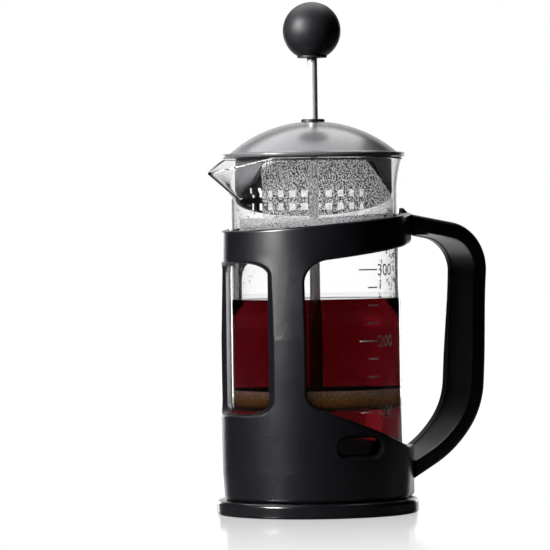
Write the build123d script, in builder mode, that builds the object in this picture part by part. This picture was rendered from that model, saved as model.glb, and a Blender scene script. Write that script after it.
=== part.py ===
"""Small French press: glass beaker in a moulded frame, with a lid and a plunger.

Frame: origin on the beaker's axis at table level, +X towards the handle, -X towards
the spout, +Z up. Millimetres. The plunger stands part-way down.
"""

import os
from math import atan, cos, degrees, radians, sin, sqrt, tan

from build123d import *

os.makedirs("parts", exist_ok=True)

# ---------------------------------------------------------------- clearances
fit_gap = 0.05          # between fixed pieces: screws in holes, insert in knob
running_gap = 0.08      # between a shaft and its bush
seat_gap = 0.3          # between a lifted piece and the seat it rests on
slide_gap = 0.45        # between the beaker and the frame around it

# -------------------------------------------------------------- foot and cup
pad_margin = 5.8        # of the base plate around the pad
pad_thickness = 1.4
pad_recess = 1.15       # how far the pad sinks into the base plate
pad_groove_pitch = 7.0
pad_groove_width = 1.2
pad_groove_depth = 0.4

base_overhang = 3.35    # beyond the cup's foot
base_thickness = 5.95
base_top_round = 1.7
base_foot_round = 1.0

floor_thickness = 2.8
cushion_thickness = 1.7
cushion_margin = 5.0    # of the beaker around the cushion
cushion_width = 9.0

screw_count = 3
screw_inset = 10.0      # of the screw circle inside the pad's edge
base_screw_head = 3.0
base_screw_shank = 1.5
base_screw_cover = 1.2  # of the cup's floor left above the screws
drive_radius = 1.3      # hexagon socket in every screw head
drive_depth = 1.0

# ------------------------------------------------------------------- beaker
beaker_radius = 35.0
beaker_height = 134.9
beaker_wall = 1.8
beaker_floor = 2.4
beaker_corner = 7.0
rim_flare = 2.4         # how much wider the rim is than the wall
flare_height = 14.5
rim_round = 0.6

spout_reach = 15.0      # beyond the beaker's wall
spout_drop = 6.4        # of the tip below the rim
spout_keel = 8.5        # height of the keel below the tip
spout_low_angle = 37.0  # half angle that the beak takes up at its foot
spout_high_angle = 44.0
spout_tip_round = 1.6
spout_keel_wall = 1.2   # vertical thickness of the keel
spout_lip_wall = 0.8    # how much further in the inside of the beak starts
spout_fall_inset = 6.4  # inside the rim, where the rim starts to fall towards the tip

# -------------------------------------------------------------------- frame
ring_wall = 2.35        # at its upper edge
ring_flare = 0.45       # of its lower edge beyond the upper one
ring_height = 13.8
ring_top_slope = 0.088
ring_foot_slope = 0.125
beaker_stand = 26.3     # of the beaker's rim above the ring's edge, at the axis
cup_wall = 3.4
cup_foot_wall = 2.65
cup_taper_height = 12.0
cup_foot_round = 1.8
post_bow = 0.6          # of the posts' middle beyond the cup
belly_low_height = 50.0   # above the base plate, from where
belly_high_height = 66.0  # to where the posts stand out most
post_relief = 1.3       # of the posts' insides behind the ring's
relief_run = 4.0        # height over which the relief fades at each end
rim_edge_round = 0.85
window_edge_round = 1.0

post_inner_angle = 35.5   # from the spout round to the post's edge at the spout window
post_outer_angle = 57.1   # from the spout round to the post's edge at the side window
side_head_round = 9.5
side_foot_round = 7.0
sill_height = 31.7      # side window's sloping sill above the base plate, at the axis
sill_slope = 0.37
sill_low_height = 21.1  # flat stretch of the sill at the handle
sill_low_round = 9.0

spout_window_sill = 35.1
spout_window_drop = 16.3  # of the window's head below the ring's edge at the axis
spout_head_round = 4.8
spout_foot_round = 6.5

slot_length = 19.4
slot_width = 7.4
slot_drop = 9.3         # of the slot's middle below the sill, at the axis
slot_chamfer = 1.4

boss_proud = 1.9        # of the handle bosses beyond the ring
boss_margin = 0.7       # of the handle on each side of its boss
boss_corner = 2.0
boss_foot_round = 2.5

# ------------------------------------------------------------------- handle
grip_reach = 37.05      # from the bosses to the outside of the grip, at its top
grip_lean = 4.0         # of the grip's foot towards the cup
handle_thickness = 6.6
handle_width = 25.4
waist_width = 22.8
handle_top_drop = 0.65  # of the upper arm below the boss's edge
arm_slope = 0.18
arm_round = 20.3
arm_gusset = 1.9
arm_gusset_length = 8.5
waist_height = 30.0     # of the grip's narrowest place below the upper arm
waist_reach = 34.0      # how far the waist reaches above and below that
grip_foot_height = 34.8  # above the base plate, where the grip's straight line ends
grip_foot_round = 49.0
grip_foot_share = 0.50  # of the run between the lower bends that the upper one may take
heel_reach = 19.15
heel_height = 17.4
heel_round = 52.0
heel_share = 0.47       # of that run that the lower one may take
arm_foot_height = 7.0   # of the lower arm's underside above the base plate
shell_edge_round = 2.4
shell_rim_round = 0.7

liner_margin = 4.4      # of the shell on each side of the liner
liner_thickness = 2.3
liner_inset = 0.25      # of the liner's face below the shell's rims
liner_start = 9.5       # from the bosses, where the liner begins

hook_height = 2.6
hook_length = 3.6
hook_width = 8.0

handle_screw_head = 3.1
handle_screw_shank = 1.6
upper_screw_length = 11.0
upper_screw_drop = 4.7  # of the upper screw below the upper arm's top
lower_screw_length = 7.5
lower_screw_rise = 5.0  # of the lower screw above the lower arm's underside

# ---------------------------------------------------------------------- lid
flange_overhang = 0.15  # beyond the beaker's rim
flange_thickness = 1.7
flange_round = 0.7
flange_ledge = 2.95     # from the flange's edge in to the dome's foot
dome_rise = 13.1
dome_wall = 2.0
dome_foot_blend = 1.2

skirt_gap = 1.1         # between the strainer and the beaker's wall
skirt_wall = 1.6
skirt_depth = 23.8      # of the strainer's lowest point below the lid's flange
skirt_side_depth = 17.2
skirt_back_depth = 9.8
skirt_stub_depth = 2.0
skirt_side_reach = 0.0
skirt_back_reach = -17.0
skirt_stub_reach = -22.0
strainer_direction = 69.5
strainer_columns = 11
strainer_pitch = 9.6
strainer_rows = 2
strainer_row_pitch = 5.4
strainer_hole_width = 3.2
strainer_hole_height = 2.9
strainer_first_row = 3.9  # of the lower row above the strainer's lowest point

bush_wall = 1.12
bush_flange_width = 1.55
bush_flange_height = 1.2
bush_lip_width = 1.0
bush_lip_height = 1.6
bush_lip_gap = 0.1

# ------------------------------------------------------------------ plunger
rod_radius = 2.1
thread_step = 0.3       # of the thread below the rod's surface
rod_end_chamfer = 0.4
plunger_lift = 25.2     # of the plunger above its lowest place, as it stands
press_clearance = 1.1   # of the nut above the beaker's floor, at the lowest place
knob_radius = 11.9
knob_neck_wall = 2.65
knob_neck_height = 0.8
insert_wall = 1.3
insert_height = 9.0
insert_recess = 0.6     # inside the knob's neck
insert_groove_width = 1.6
insert_groove_depth = 0.5

mesh_gap = 0.35         # between the mesh and the beaker's wall
mesh_height = 7.4
mesh_gauge = 0.4
mesh_corner = 1.8
coil_radius = 1.15
coil_lift = 1.1         # of the coil above the spiral plate's underside
spiral_gauge = 0.7
spiral_rim_height = 6.2
spiral_holes = 12
spiral_hole_radius = 1.7
spiral_hole_circle = 17.0
cross_margin = 3.35     # of the mesh around the cross plate
cross_gauge = 0.9
cross_rim_width = 3.0
cross_hub_margin = 0.8  # of the cross plate's hub around the nut's flange
cross_arms = 4
cross_arm_width = 5.0
cross_corner = 1.5
nut_radius = 5.0
nut_height = 3.2
nut_flange_width = 1.2
nut_flange_height = 0.9
collar_wall = 2.25
collar_height = 5.0
collar_chamfer = 0.6

# ------------------------------------------------- levels, from the table up
base_foot_z = pad_thickness - pad_recess
base_top_z = base_foot_z + base_thickness
floor_top_z = base_top_z + floor_thickness
cushion_top_z = floor_top_z + cushion_thickness
beaker_foot_z = cushion_top_z + seat_gap
rim_z = beaker_foot_z + beaker_height
flange_foot_z = rim_z + seat_gap
flange_top_z = flange_foot_z + flange_thickness
dome_apex_z = flange_top_z + dome_rise
ring_top_z = rim_z - beaker_stand
arm_foot_z = base_top_z + arm_foot_height

# ---------------------------------------------------- radii, from the beaker
beaker_inner = beaker_radius - beaker_wall
rim_radius = beaker_radius + rim_flare
well_radius = beaker_radius + slide_gap
ring_radius = well_radius + ring_wall
cup_radius = well_radius + cup_wall
cup_foot_radius = well_radius + cup_foot_wall
belly_radius = cup_radius + post_bow
base_radius = cup_foot_radius + base_overhang
pad_radius = base_radius - pad_margin
screw_circle = pad_radius - screw_inset
cushion_radius = beaker_radius - cushion_margin
flange_radius = rim_radius + flange_overhang
dome_radius = flange_radius - flange_ledge
dome_sphere = (dome_radius**2 + dome_rise**2) / (2 * dome_rise)
dome_centre_z = dome_apex_z - dome_sphere
skirt_radius = beaker_inner - skirt_gap
skirt_inner = skirt_radius - skirt_wall
mesh_radius = beaker_inner - mesh_gap
cross_radius = mesh_radius - cross_margin

# -------------------------------------------------------- radii, from the rod
rod_bore = rod_radius + fit_gap
thread_radius = rod_radius - thread_step
thread_bore = thread_radius + fit_gap
bush_bore = rod_radius + running_gap
bush_barrel_radius = bush_bore + bush_wall
bush_flange_radius = bush_barrel_radius + bush_flange_width
bush_lip_radius = bush_barrel_radius + bush_lip_width
insert_radius = rod_bore + insert_wall
knob_neck_radius = insert_radius + knob_neck_wall
collar_radius = rod_bore + collar_wall
nut_flange_radius = nut_radius + nut_flange_width
cross_hub_radius = nut_flange_radius + cross_hub_margin

# ------------------------------------------------- places shared by the frame
boss_x = ring_radius + boss_proud
boss_width = handle_width - 2 * boss_margin
liner_width = handle_width - 2 * liner_margin
post_side_x = cup_radius * cos(radians(post_outer_angle))
post_spout_x = cup_radius * cos(radians(post_inner_angle))


def ring_edge_z(x):
    """Height of the ring's sloping upper edge at x."""
    return ring_top_z + ring_top_slope * x


def ring_foot_z(x):
    """Height of the ring's sloping lower edge at x."""
    return ring_top_z - ring_height + ring_foot_slope * x


arm_top_z = ring_edge_z(boss_x) - handle_top_drop


def countersunk_body(head_radius, shank_radius, length, lead=0.0):
    """Countersunk shape along -Z, head face on the XY plane, with a lead-in above it."""
    cone = head_radius - shank_radius
    outline = [(0, lead), (head_radius, lead)]
    if lead:
        outline.append((head_radius, 0))
    outline += [(shank_radius, -cone), (shank_radius, -length), (0, -length)]
    with BuildPart() as body:
        with BuildSketch(Plane.XZ):
            with BuildLine():
                Polyline(*outline, close=True)
            make_face()
        revolve(axis=Axis.Z)
    return body.part


def countersunk_screw(head_radius, shank_radius, length):
    """Countersunk screw along -Z with a hexagon socket."""
    with BuildPart() as screw:
        add(countersunk_body(head_radius, shank_radius, length))
        with BuildSketch():
            RegularPolygon(drive_radius, 6)
        extrude(amount=-drive_depth, mode=Mode.SUBTRACT)
    return screw.part


def screw_cut(head_radius, shank_radius, length, lead):
    """Space that a countersunk screw needs, with its clearance."""
    return countersunk_body(
        head_radius + fit_gap, shank_radius + fit_gap, length + fit_gap, lead
    )


# ============================================================ foot
with BuildPart() as non_slip_pad:
    with BuildSketch():
        Circle(pad_radius)
    extrude(amount=pad_thickness)
    with BuildSketch():
        for ring_number in (1, 2, 3):
            groove_radius = pad_radius - ring_number * pad_groove_pitch
            Circle(groove_radius + pad_groove_width)
            Circle(groove_radius, mode=Mode.SUBTRACT)
    extrude(amount=pad_groove_depth, mode=Mode.SUBTRACT)

# Looks up at the base plate from below, where its screws go in.
base_screw_seat = Plane(origin=(0, 0, pad_thickness), x_dir=(1, 0, 0), z_dir=(0, 0, -1))
base_screw_length = floor_top_z - base_screw_cover - pad_thickness

with BuildPart() as base_plate:
    with BuildSketch(Plane.XY.offset(base_foot_z)):
        Circle(base_radius)
    extrude(amount=base_thickness)
    fillet(edges().group_by(Axis.Z)[-1], base_top_round)
    fillet(edges().group_by(Axis.Z)[0], base_foot_round)
    with BuildSketch(Plane.XY.offset(base_foot_z)):
        Circle(pad_radius + fit_gap)
    extrude(amount=pad_recess, mode=Mode.SUBTRACT)
    with Locations(base_screw_seat):
        with PolarLocations(screw_circle, screw_count):
            add(
                screw_cut(base_screw_head, base_screw_shank, base_screw_length, fit_gap),
                mode=Mode.SUBTRACT,
            )

with BuildPart() as base_screws:
    with Locations(base_screw_seat):
        with PolarLocations(screw_circle, screw_count):
            add(countersunk_screw(base_screw_head, base_screw_shank, base_screw_length))

# ============================================================ frame
# The handle's screws go in from the beaker's side, along +X.
screw_face_x = well_radius + seat_gap / 2


def handle_screw_seat(height):
    """Plane of a handle screw's head, which faces the beaker."""
    return Plane(origin=(screw_face_x, 0, height), x_dir=(0, 1, 0), z_dir=(-1, 0, 0))


handle_screw_seats = (
    (handle_screw_seat(arm_top_z - upper_screw_drop), upper_screw_length),
    (handle_screw_seat(arm_foot_z + lower_screw_rise), lower_screw_length),
)

outer_reach = 2 * base_radius     # long enough to cut right across the frame
sill_z = base_top_z + sill_height
sill_low_z = base_top_z + sill_low_height
sill_bend_x = (sill_height - sill_low_height) / sill_slope
boss_clear_x = boss_x + fit_gap
boss_corner_z = ring_foot_z(boss_clear_x)
boss_clear_z = boss_corner_z + 2 * boss_foot_round
frame_top_z = ring_edge_z(outer_reach)
spout_sill_z = base_top_z + spout_window_sill
spout_head_z = ring_top_z - spout_window_drop

frame_sections = (
    (base_top_z, cup_foot_radius),
    (base_top_z + cup_taper_height, cup_radius),
    (base_top_z + belly_low_height, belly_radius),
    (base_top_z + belly_high_height, belly_radius),
    (ring_foot_z(0), ring_radius + ring_flare),
    (frame_top_z, ring_radius),
)


def outside_of_frame(edge):
    """Whether an edge lies on the frame's outer surface."""
    middle = edge @ 0.5
    return sqrt(middle.X**2 + middle.Y**2) > ring_radius - fit_gap


def side_window_rim(edge):
    """Whether an outer edge runs round a side window, and isn't an upright of the shell."""
    middle = edge @ 0.5
    upright = abs((edge % 0.5).Z) > cos(radians(10))
    at_post = abs(middle.X + post_side_x) < window_edge_round
    return outside_of_frame(edge) and (at_post or not upright)


with BuildPart() as frame_body:
    for section_z, section_radius in frame_sections:
        with BuildSketch(Plane.XY.offset(section_z)):
            Circle(section_radius)
            with Locations(
                (boss_x - boss_corner, boss_width / 2 - boss_corner),
                (boss_x - boss_corner, boss_corner - boss_width / 2),
            ):
                Circle(boss_corner)
            make_hull()
    loft(ruled=True)
    fillet(edges().group_by(Axis.Z)[0], cup_foot_round)
    # Room for the beaker.
    with BuildSketch(Plane.XY.offset(floor_top_z)):
        Circle(well_radius)
    extrude(amount=frame_top_z, mode=Mode.SUBTRACT)
    # Relief inside the posts, which keeps their walls thin.
    with BuildSketch(Plane.XZ):
        with BuildLine():
            Polyline(
                (0, spout_sill_z),
                (well_radius, spout_sill_z),
                (well_radius + post_relief, spout_sill_z + relief_run),
                (well_radius + post_relief, spout_head_z - relief_run),
                (well_radius, spout_head_z),
                (0, spout_head_z),
                close=True,
            )
        make_face()
    revolve(axis=Axis.Z, mode=Mode.SUBTRACT)
    # Sloping upper edge of the ring.
    with BuildSketch(Plane.XZ):
        with BuildLine():
            Polyline(
                (-outer_reach, ring_edge_z(-outer_reach)),
                (outer_reach, ring_edge_z(outer_reach)),
                (outer_reach, 2 * frame_top_z),
                (-outer_reach, 2 * frame_top_z),
                close=True,
            )
        make_face()
    extrude(amount=outer_reach, both=True, mode=Mode.SUBTRACT)
    fillet(faces().sort_by(Axis.Z)[-1].outer_wire().edges(), rim_edge_round)
    # Side windows, which meet behind the handle.
    with BuildSketch(Plane.XZ):
        with BuildLine():
            Polyline(
                (-post_side_x, sill_z + sill_slope * post_side_x),
                (sill_bend_x, sill_low_z),
                (outer_reach, sill_low_z),
                (outer_reach, boss_clear_z),
                (boss_clear_x, boss_clear_z),
                (boss_clear_x, boss_corner_z),
                (-post_side_x, ring_foot_z(-post_side_x)),
                close=True,
            )
        make_face()
        fillet(vertices().group_by(Axis.X)[0].sort_by(Axis.Y)[-1], side_head_round)
        fillet(vertices().group_by(Axis.X)[0].sort_by(Axis.Y)[0], side_foot_round)
        fillet(vertices().sort_by_distance((sill_bend_x, sill_low_z))[0], sill_low_round)
        fillet(vertices().sort_by_distance((boss_clear_x, boss_corner_z))[0], boss_foot_round)
    extrude(amount=outer_reach, both=True, mode=Mode.SUBTRACT)
    fillet(edges(Select.LAST).filter_by(side_window_rim), window_edge_round)
    # Window under the spout, from post to post.
    with BuildSketch(Plane.XZ):
        with Locations((-post_spout_x - outer_reach / 2, (spout_sill_z + spout_head_z) / 2)):
            Rectangle(outer_reach, spout_head_z - spout_sill_z)
        fillet(vertices().group_by(Axis.X)[-1].sort_by(Axis.Y)[-1], spout_head_round)
        fillet(vertices().group_by(Axis.X)[-1].sort_by(Axis.Y)[0], spout_foot_round)
    extrude(amount=outer_reach, both=True, mode=Mode.SUBTRACT)
    fillet(edges(Select.LAST).filter_by(outside_of_frame), window_edge_round)
    # Slots low on both sides of the cup.
    with BuildSketch(Plane.XZ):
        with Locations((0, sill_z - slot_drop)):
            SlotOverall(slot_length, slot_width)
    extrude(amount=outer_reach, both=True, mode=Mode.SUBTRACT)
    chamfer(edges(Select.LAST).filter_by(outside_of_frame), slot_chamfer)
    # Seats of the handle's screws.
    for screw_seat, length in handle_screw_seats:
        with Locations(screw_seat):
            add(
                screw_cut(handle_screw_head, handle_screw_shank, length, well_radius / 4),
                mode=Mode.SUBTRACT,
            )
    # Threads of the base plate's screws.
    with Locations(base_screw_seat):
        with PolarLocations(screw_circle, screw_count):
            add(
                screw_cut(base_screw_head, base_screw_shank, base_screw_length, fit_gap),
                mode=Mode.SUBTRACT,
            )

with BuildPart() as beaker_cushion:
    with BuildSketch(Plane.XY.offset(floor_top_z)):
        Circle(cushion_radius)
        Circle(cushion_radius - cushion_width, mode=Mode.SUBTRACT)
    extrude(amount=cushion_thickness)

# ============================================================ handle
grip_x = boss_x + grip_reach
grip_foot_x = grip_x - grip_lean
heel_x = boss_x + heel_reach
heel_z = base_top_z + heel_height
heel_slope = (heel_height - arm_foot_height) / heel_reach
grip_foot_z = base_top_z + grip_foot_height
waist_z = arm_top_z - waist_height

# The two lower bends share the run between them, which limits their radii.
heel_run = sqrt((grip_foot_x - heel_x) ** 2 + (grip_foot_z - heel_z) ** 2)
heel_run_angle = degrees(atan((grip_foot_x - heel_x) / (grip_foot_z - heel_z)))
grip_angle = degrees(atan(grip_lean / (arm_top_z - arm_slope * grip_reach - grip_foot_z)))
grip_foot_turn = heel_run_angle - grip_angle
heel_turn = 90 - heel_run_angle - degrees(atan(heel_slope))
grip_foot_bend = min(grip_foot_round, grip_foot_share * heel_run / tan(radians(grip_foot_turn / 2)))
heel_bend = min(heel_round, heel_share * heel_run / tan(radians(heel_turn / 2)))


def handle_side(inset):
    """Filled side view of the handle, inset from its outer surface."""
    top_left = (0, arm_top_z + arm_slope * boss_x)
    foot_left = (0, arm_foot_z - heel_slope * boss_x)
    with BuildSketch() as side:
        with BuildLine():
            FilletPolyline(
                top_left,
                (grip_x, arm_top_z - arm_slope * grip_reach),
                (grip_foot_x, grip_foot_z),
                (heel_x, heel_z),
                foot_left,
                radius=(arm_round, grip_foot_bend, heel_bend),
            )
            Line(foot_left, top_left)
        make_face()
        if inset:
            offset(amount=-inset)
    return side.sketch


def inside_of(start_x):
    """Sketch that cuts away the side view up to start_x."""
    with BuildSketch() as cut:
        with Locations((start_x - outer_reach, ring_top_z / 2)):
            Rectangle(2 * outer_reach, 4 * ring_top_z)
    return cut.sketch


with BuildPart() as handle_shell:
    with BuildSketch(Plane.XZ):
        add(handle_side(0))
    extrude(amount=handle_width / 2, both=True)
    # Slight waist, for the hand.
    with BuildSketch(Plane.YZ):
        with BuildLine():
            Spline(
                (handle_width / 2, waist_z + waist_reach),
                (waist_width / 2, waist_z),
                (handle_width / 2, waist_z - waist_reach),
                tangents=[(0, -1), (0, -1)],
            )
            Line((handle_width / 2, waist_z - waist_reach), (handle_width / 2, -ring_top_z))
            Line((handle_width / 2, -ring_top_z), (0, -ring_top_z))
            Line((0, -ring_top_z), (0, 2 * ring_top_z))
            Line((0, 2 * ring_top_z), (handle_width / 2, 2 * ring_top_z))
            Line((handle_width / 2, 2 * ring_top_z), (handle_width / 2, waist_z + waist_reach))
        make_face()
        mirror(about=Plane.YZ)
    extrude(amount=outer_reach, mode=Mode.INTERSECT)
    fillet(edges().filter_by_position(Axis.X, boss_x / 4, outer_reach), shell_edge_round)
    # Open the D to a strap.
    with BuildSketch(Plane.XZ):
        add(handle_side(handle_thickness))
    extrude(amount=handle_width, both=True, mode=Mode.SUBTRACT)
    inner_rims = edges(Select.LAST).filter_by_position(Axis.X, boss_x / 2, outer_reach)
    fillet(inner_rims, shell_rim_round)
    # Channel for the liner.
    with BuildSketch(Plane.XZ):
        add(handle_side(handle_thickness - liner_thickness - fit_gap))
        add(handle_side(2 * handle_thickness), mode=Mode.SUBTRACT)
        add(inside_of(boss_x + liner_start), mode=Mode.SUBTRACT)
    extrude(amount=liner_width / 2 + fit_gap, both=True, mode=Mode.SUBTRACT)
    # Gusset under the root of the upper arm.
    root_underside_z = arm_top_z - handle_thickness * sqrt(1 + arm_slope**2)
    with BuildSketch(Plane.XZ):
        with BuildLine():
            Polyline(
                (boss_x, root_underside_z + shell_rim_round),
                (boss_x, root_underside_z - arm_gusset),
                (boss_x + arm_gusset_length, root_underside_z - arm_gusset),
                close=True,
            )
        make_face()
    extrude(amount=handle_width / 2 - shell_edge_round / 2, both=True)
    # The handle ends on the faces of the bosses.
    with BuildSketch(Plane.XZ):
        add(inside_of(boss_x))
    extrude(amount=handle_width, both=True, mode=Mode.SUBTRACT)
    # Small hook at the root, standing above the ring's edge.
    with BuildSketch(Plane.XZ):
        with BuildLine():
            Polyline(
                (boss_x, arm_top_z - shell_edge_round),
                (boss_x, arm_top_z + hook_height),
                (boss_x + hook_length, arm_top_z - arm_slope * hook_length),
                (boss_x + hook_length, arm_top_z - shell_edge_round),
                close=True,
            )
        make_face()
    extrude(amount=hook_width / 2, both=True)
    for screw_seat, length in handle_screw_seats:
        with Locations(screw_seat):
            add(
                screw_cut(handle_screw_head, handle_screw_shank, length, fit_gap),
                mode=Mode.SUBTRACT,
            )

with BuildPart() as handle_liner:
    with BuildSketch(Plane.XZ):
        add(handle_side(handle_thickness - liner_thickness))
        add(handle_side(handle_thickness - liner_inset), mode=Mode.SUBTRACT)
        add(inside_of(boss_x + liner_start + fit_gap), mode=Mode.SUBTRACT)
    extrude(amount=liner_width / 2, both=True)

handle_screws = []
for screw_seat, length in handle_screw_seats:
    with BuildPart() as handle_screw:
        with Locations(screw_seat):
            add(countersunk_screw(handle_screw_head, handle_screw_shank, length))
    handle_screws.append(handle_screw)

# ============================================================ beaker
flare_foot_z = rim_z - flare_height
keel_foot_z = rim_z - spout_drop - spout_keel
keel_slope = spout_reach / spout_keel


def beaker_outline(inset, floor_z):
    """Half section of the beaker's outside, or of its inside, inset by the wall."""
    side = beaker_radius - inset
    corner = beaker_corner - inset
    with BuildSketch(Plane.XZ) as outline:
        with BuildLine():
            Line((0, floor_z), (side - corner, floor_z))
            RadiusArc((side - corner, floor_z), (side, floor_z + corner), -corner)
            Line((side, floor_z + corner), (side, flare_foot_z))
            TangentArc((side, flare_foot_z), (side + rim_flare, rim_z), tangent=(0, 1))
            Polyline((side + rim_flare, rim_z), (0, rim_z), (0, floor_z))
        make_face()
    return outline.sketch


def beak(inset, lift, lean):
    """Solid wedge of the spout, which widens upwards from the keel's foot."""
    levels = (
        (keel_foot_z + lift, beaker_radius, spout_low_angle, 0),
        (rim_z + lift, rim_radius, spout_high_angle, rim_z - keel_foot_z),
    )
    with BuildPart() as wedge:
        for level_z, root_radius, half_angle, rise in levels:
            root_x = (root_radius - inset) * cos(radians(half_angle))
            root_y = (root_radius - inset) * sin(radians(half_angle))
            tip_x = beaker_radius + keel_slope * rise - lean
            with BuildSketch(Plane.XY.offset(level_z)):
                with BuildLine():
                    Polyline((-tip_x, 0), (-root_x, root_y), (-root_x, -root_y), close=True)
                make_face()
                fillet(vertices().sort_by(Axis.X)[0], spout_tip_round)
        loft(ruled=True)
    return wedge.part


def rim_face(face):
    """Whether a face is part of the rim's upward-facing edge."""
    return face.normal_at().Z > cos(radians(45)) and face.center().Z > keel_foot_z


with BuildPart() as glass_beaker:
    add(beaker_outline(0, beaker_foot_z))
    revolve(axis=Axis.Z)
    add(beak(0, 0, 0))
    add(beaker_outline(beaker_wall, beaker_foot_z + beaker_floor))
    revolve(axis=Axis.Z, mode=Mode.SUBTRACT)
    add(beak(beaker_wall, spout_keel_wall, spout_lip_wall), mode=Mode.SUBTRACT)
    # The rim falls towards the tip of the spout.
    tip_x = beaker_radius + spout_reach
    fall_start_x = rim_radius - spout_fall_inset
    fall_slope = spout_drop / (tip_x - fall_start_x)
    with BuildSketch(Plane.XZ):
        with BuildLine():
            Polyline(
                (-fall_start_x, rim_z),
                (-fall_start_x - outer_reach, rim_z - fall_slope * outer_reach),
                (-fall_start_x - outer_reach, rim_z + outer_reach),
                (-fall_start_x, rim_z + outer_reach),
                close=True,
            )
        make_face()
    extrude(amount=outer_reach, both=True, mode=Mode.SUBTRACT)
    fillet(faces().filter_by(rim_face).edges(), rim_round)

# ============================================================ lid
def dome_height(sphere, radius):
    """Height of the dome's outer or inner surface at a radius from the axis."""
    return dome_centre_z + sqrt(sphere**2 - radius**2)


dome_inner_sphere = dome_sphere - dome_wall
bush_seat_radius = bush_flange_radius + seat_gap
bush_under_radius = bush_lip_radius + seat_gap
bush_hole_radius = bush_barrel_radius + running_gap
bush_seat_z = dome_height(dome_sphere, bush_seat_radius)
bush_under_z = dome_height(dome_inner_sphere, bush_under_radius)
bush_top_z = bush_seat_z + bush_flange_height
skirt_bore = skirt_radius + fit_gap
skirt_top_z = dome_height(dome_inner_sphere, skirt_bore)
skirt_foot_z = flange_foot_z - skirt_depth

with BuildPart() as lid_dome:
    with BuildSketch(Plane.XZ):
        with BuildLine():
            Polyline(
                (bush_hole_radius, bush_under_z),
                (bush_hole_radius, bush_seat_z),
                (bush_seat_radius, bush_seat_z),
            )
            RadiusArc(
                (bush_seat_radius, bush_seat_z),
                (dome_radius, flange_top_z),
                dome_sphere,
            )
            Polyline(
                (dome_radius, flange_top_z),
                (flange_radius, flange_top_z),
                (flange_radius, flange_foot_z),
                (skirt_bore, flange_foot_z),
                (skirt_bore, skirt_top_z),
            )
            RadiusArc(
                (skirt_bore, skirt_top_z),
                (bush_under_radius, bush_under_z),
                -dome_inner_sphere,
            )
            Line((bush_under_radius, bush_under_z), (bush_hole_radius, bush_under_z))
        make_face()
        flange_corners = vertices().group_by(Axis.X)[-1]
        fillet(flange_corners, flange_round)
        dome_foot = vertices().sort_by_distance((dome_radius, flange_top_z))[0]
        fillet(dome_foot, dome_foot_blend)
    revolve(axis=Axis.Z)

# Side view of the strainer, looking across the direction that it faces.
strainer_x = (cos(radians(strainer_direction)), sin(radians(strainer_direction)), 0)
strainer_y = (sin(radians(strainer_direction)), -cos(radians(strainer_direction)), 0)
strainer_side = Plane(origin=(0, 0, 0), x_dir=strainer_x, z_dir=strainer_y)

with BuildPart() as lid_strainer:
    with BuildSketch(Plane.XY.offset(skirt_foot_z)):
        Circle(skirt_radius)
        Circle(skirt_inner, mode=Mode.SUBTRACT)
    extrude(amount=skirt_top_z - skirt_foot_z)
    with BuildSketch(strainer_side):
        with BuildLine():
            Polyline(
                (outer_reach, 0),
                (skirt_radius, skirt_foot_z),
                (skirt_side_reach, flange_foot_z - skirt_side_depth),
                (skirt_back_reach, flange_foot_z - skirt_back_depth),
                (skirt_stub_reach, flange_foot_z - skirt_stub_depth),
                (-outer_reach, flange_foot_z - skirt_stub_depth),
                (-outer_reach, 0),
                close=True,
            )
        make_face()
    extrude(amount=outer_reach, both=True, mode=Mode.SUBTRACT)
    fan = strainer_pitch * (strainer_columns - 1)
    for row in range(strainer_rows):
        row_z = skirt_foot_z + strainer_first_row + row * strainer_row_pitch
        with Locations(Plane.XY.offset(row_z)):
            with PolarLocations(
                skirt_radius, strainer_columns, strainer_direction - fan / 2, fan, endpoint=True
            ):
                Box(4 * skirt_wall, strainer_hole_width, strainer_hole_height, mode=Mode.SUBTRACT)

with BuildPart() as rod_guide_bush:
    lip_top_z = bush_under_z - bush_lip_gap
    with BuildSketch(Plane.XZ):
        with BuildLine():
            Polyline(
                (bush_bore, bush_top_z),
                (bush_flange_radius, bush_top_z),
                (bush_flange_radius, bush_seat_z),
                (bush_barrel_radius, bush_seat_z),
                (bush_barrel_radius, lip_top_z),
                (bush_lip_radius, lip_top_z),
                (bush_lip_radius, lip_top_z - bush_lip_height),
                (bush_bore, lip_top_z - bush_lip_height),
                close=True,
            )
        make_face()
        fillet(vertices().group_by(Axis.Y)[-1].sort_by(Axis.X)[-1], bush_flange_height / 2)
        chamfer(vertices().group_by(Axis.Y)[0].sort_by(Axis.X)[-1], bush_lip_height / 3)
    revolve(axis=Axis.Z)

# ============================================================ plunger
nut_foot_z = beaker_foot_z + beaker_floor + press_clearance + plunger_lift
cross_foot_z = nut_foot_z + nut_height
mesh_foot_z = cross_foot_z + cross_gauge
spiral_foot_z = mesh_foot_z + mesh_gauge
stack_top_z = spiral_foot_z + spiral_gauge
neck_foot_z = bush_top_z + plunger_lift
knob_flat_z = neck_foot_z + knob_neck_height
knob_centre_z = knob_flat_z + sqrt(knob_radius**2 - knob_neck_radius**2)
insert_foot_z = neck_foot_z + insert_recess
rod_top_z = insert_foot_z + insert_height

with BuildPart() as plunger_rod:
    with BuildSketch(Plane.XY.offset(stack_top_z)):
        Circle(rod_radius)
    extrude(amount=rod_top_z - stack_top_z)
    chamfer(edges().group_by(Axis.Z)[-1], rod_end_chamfer)
    with BuildSketch(Plane.XY.offset(nut_foot_z)):
        Circle(thread_radius)
    extrude(amount=stack_top_z - nut_foot_z)
    chamfer(edges().group_by(Axis.Z)[0], rod_end_chamfer)

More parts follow.
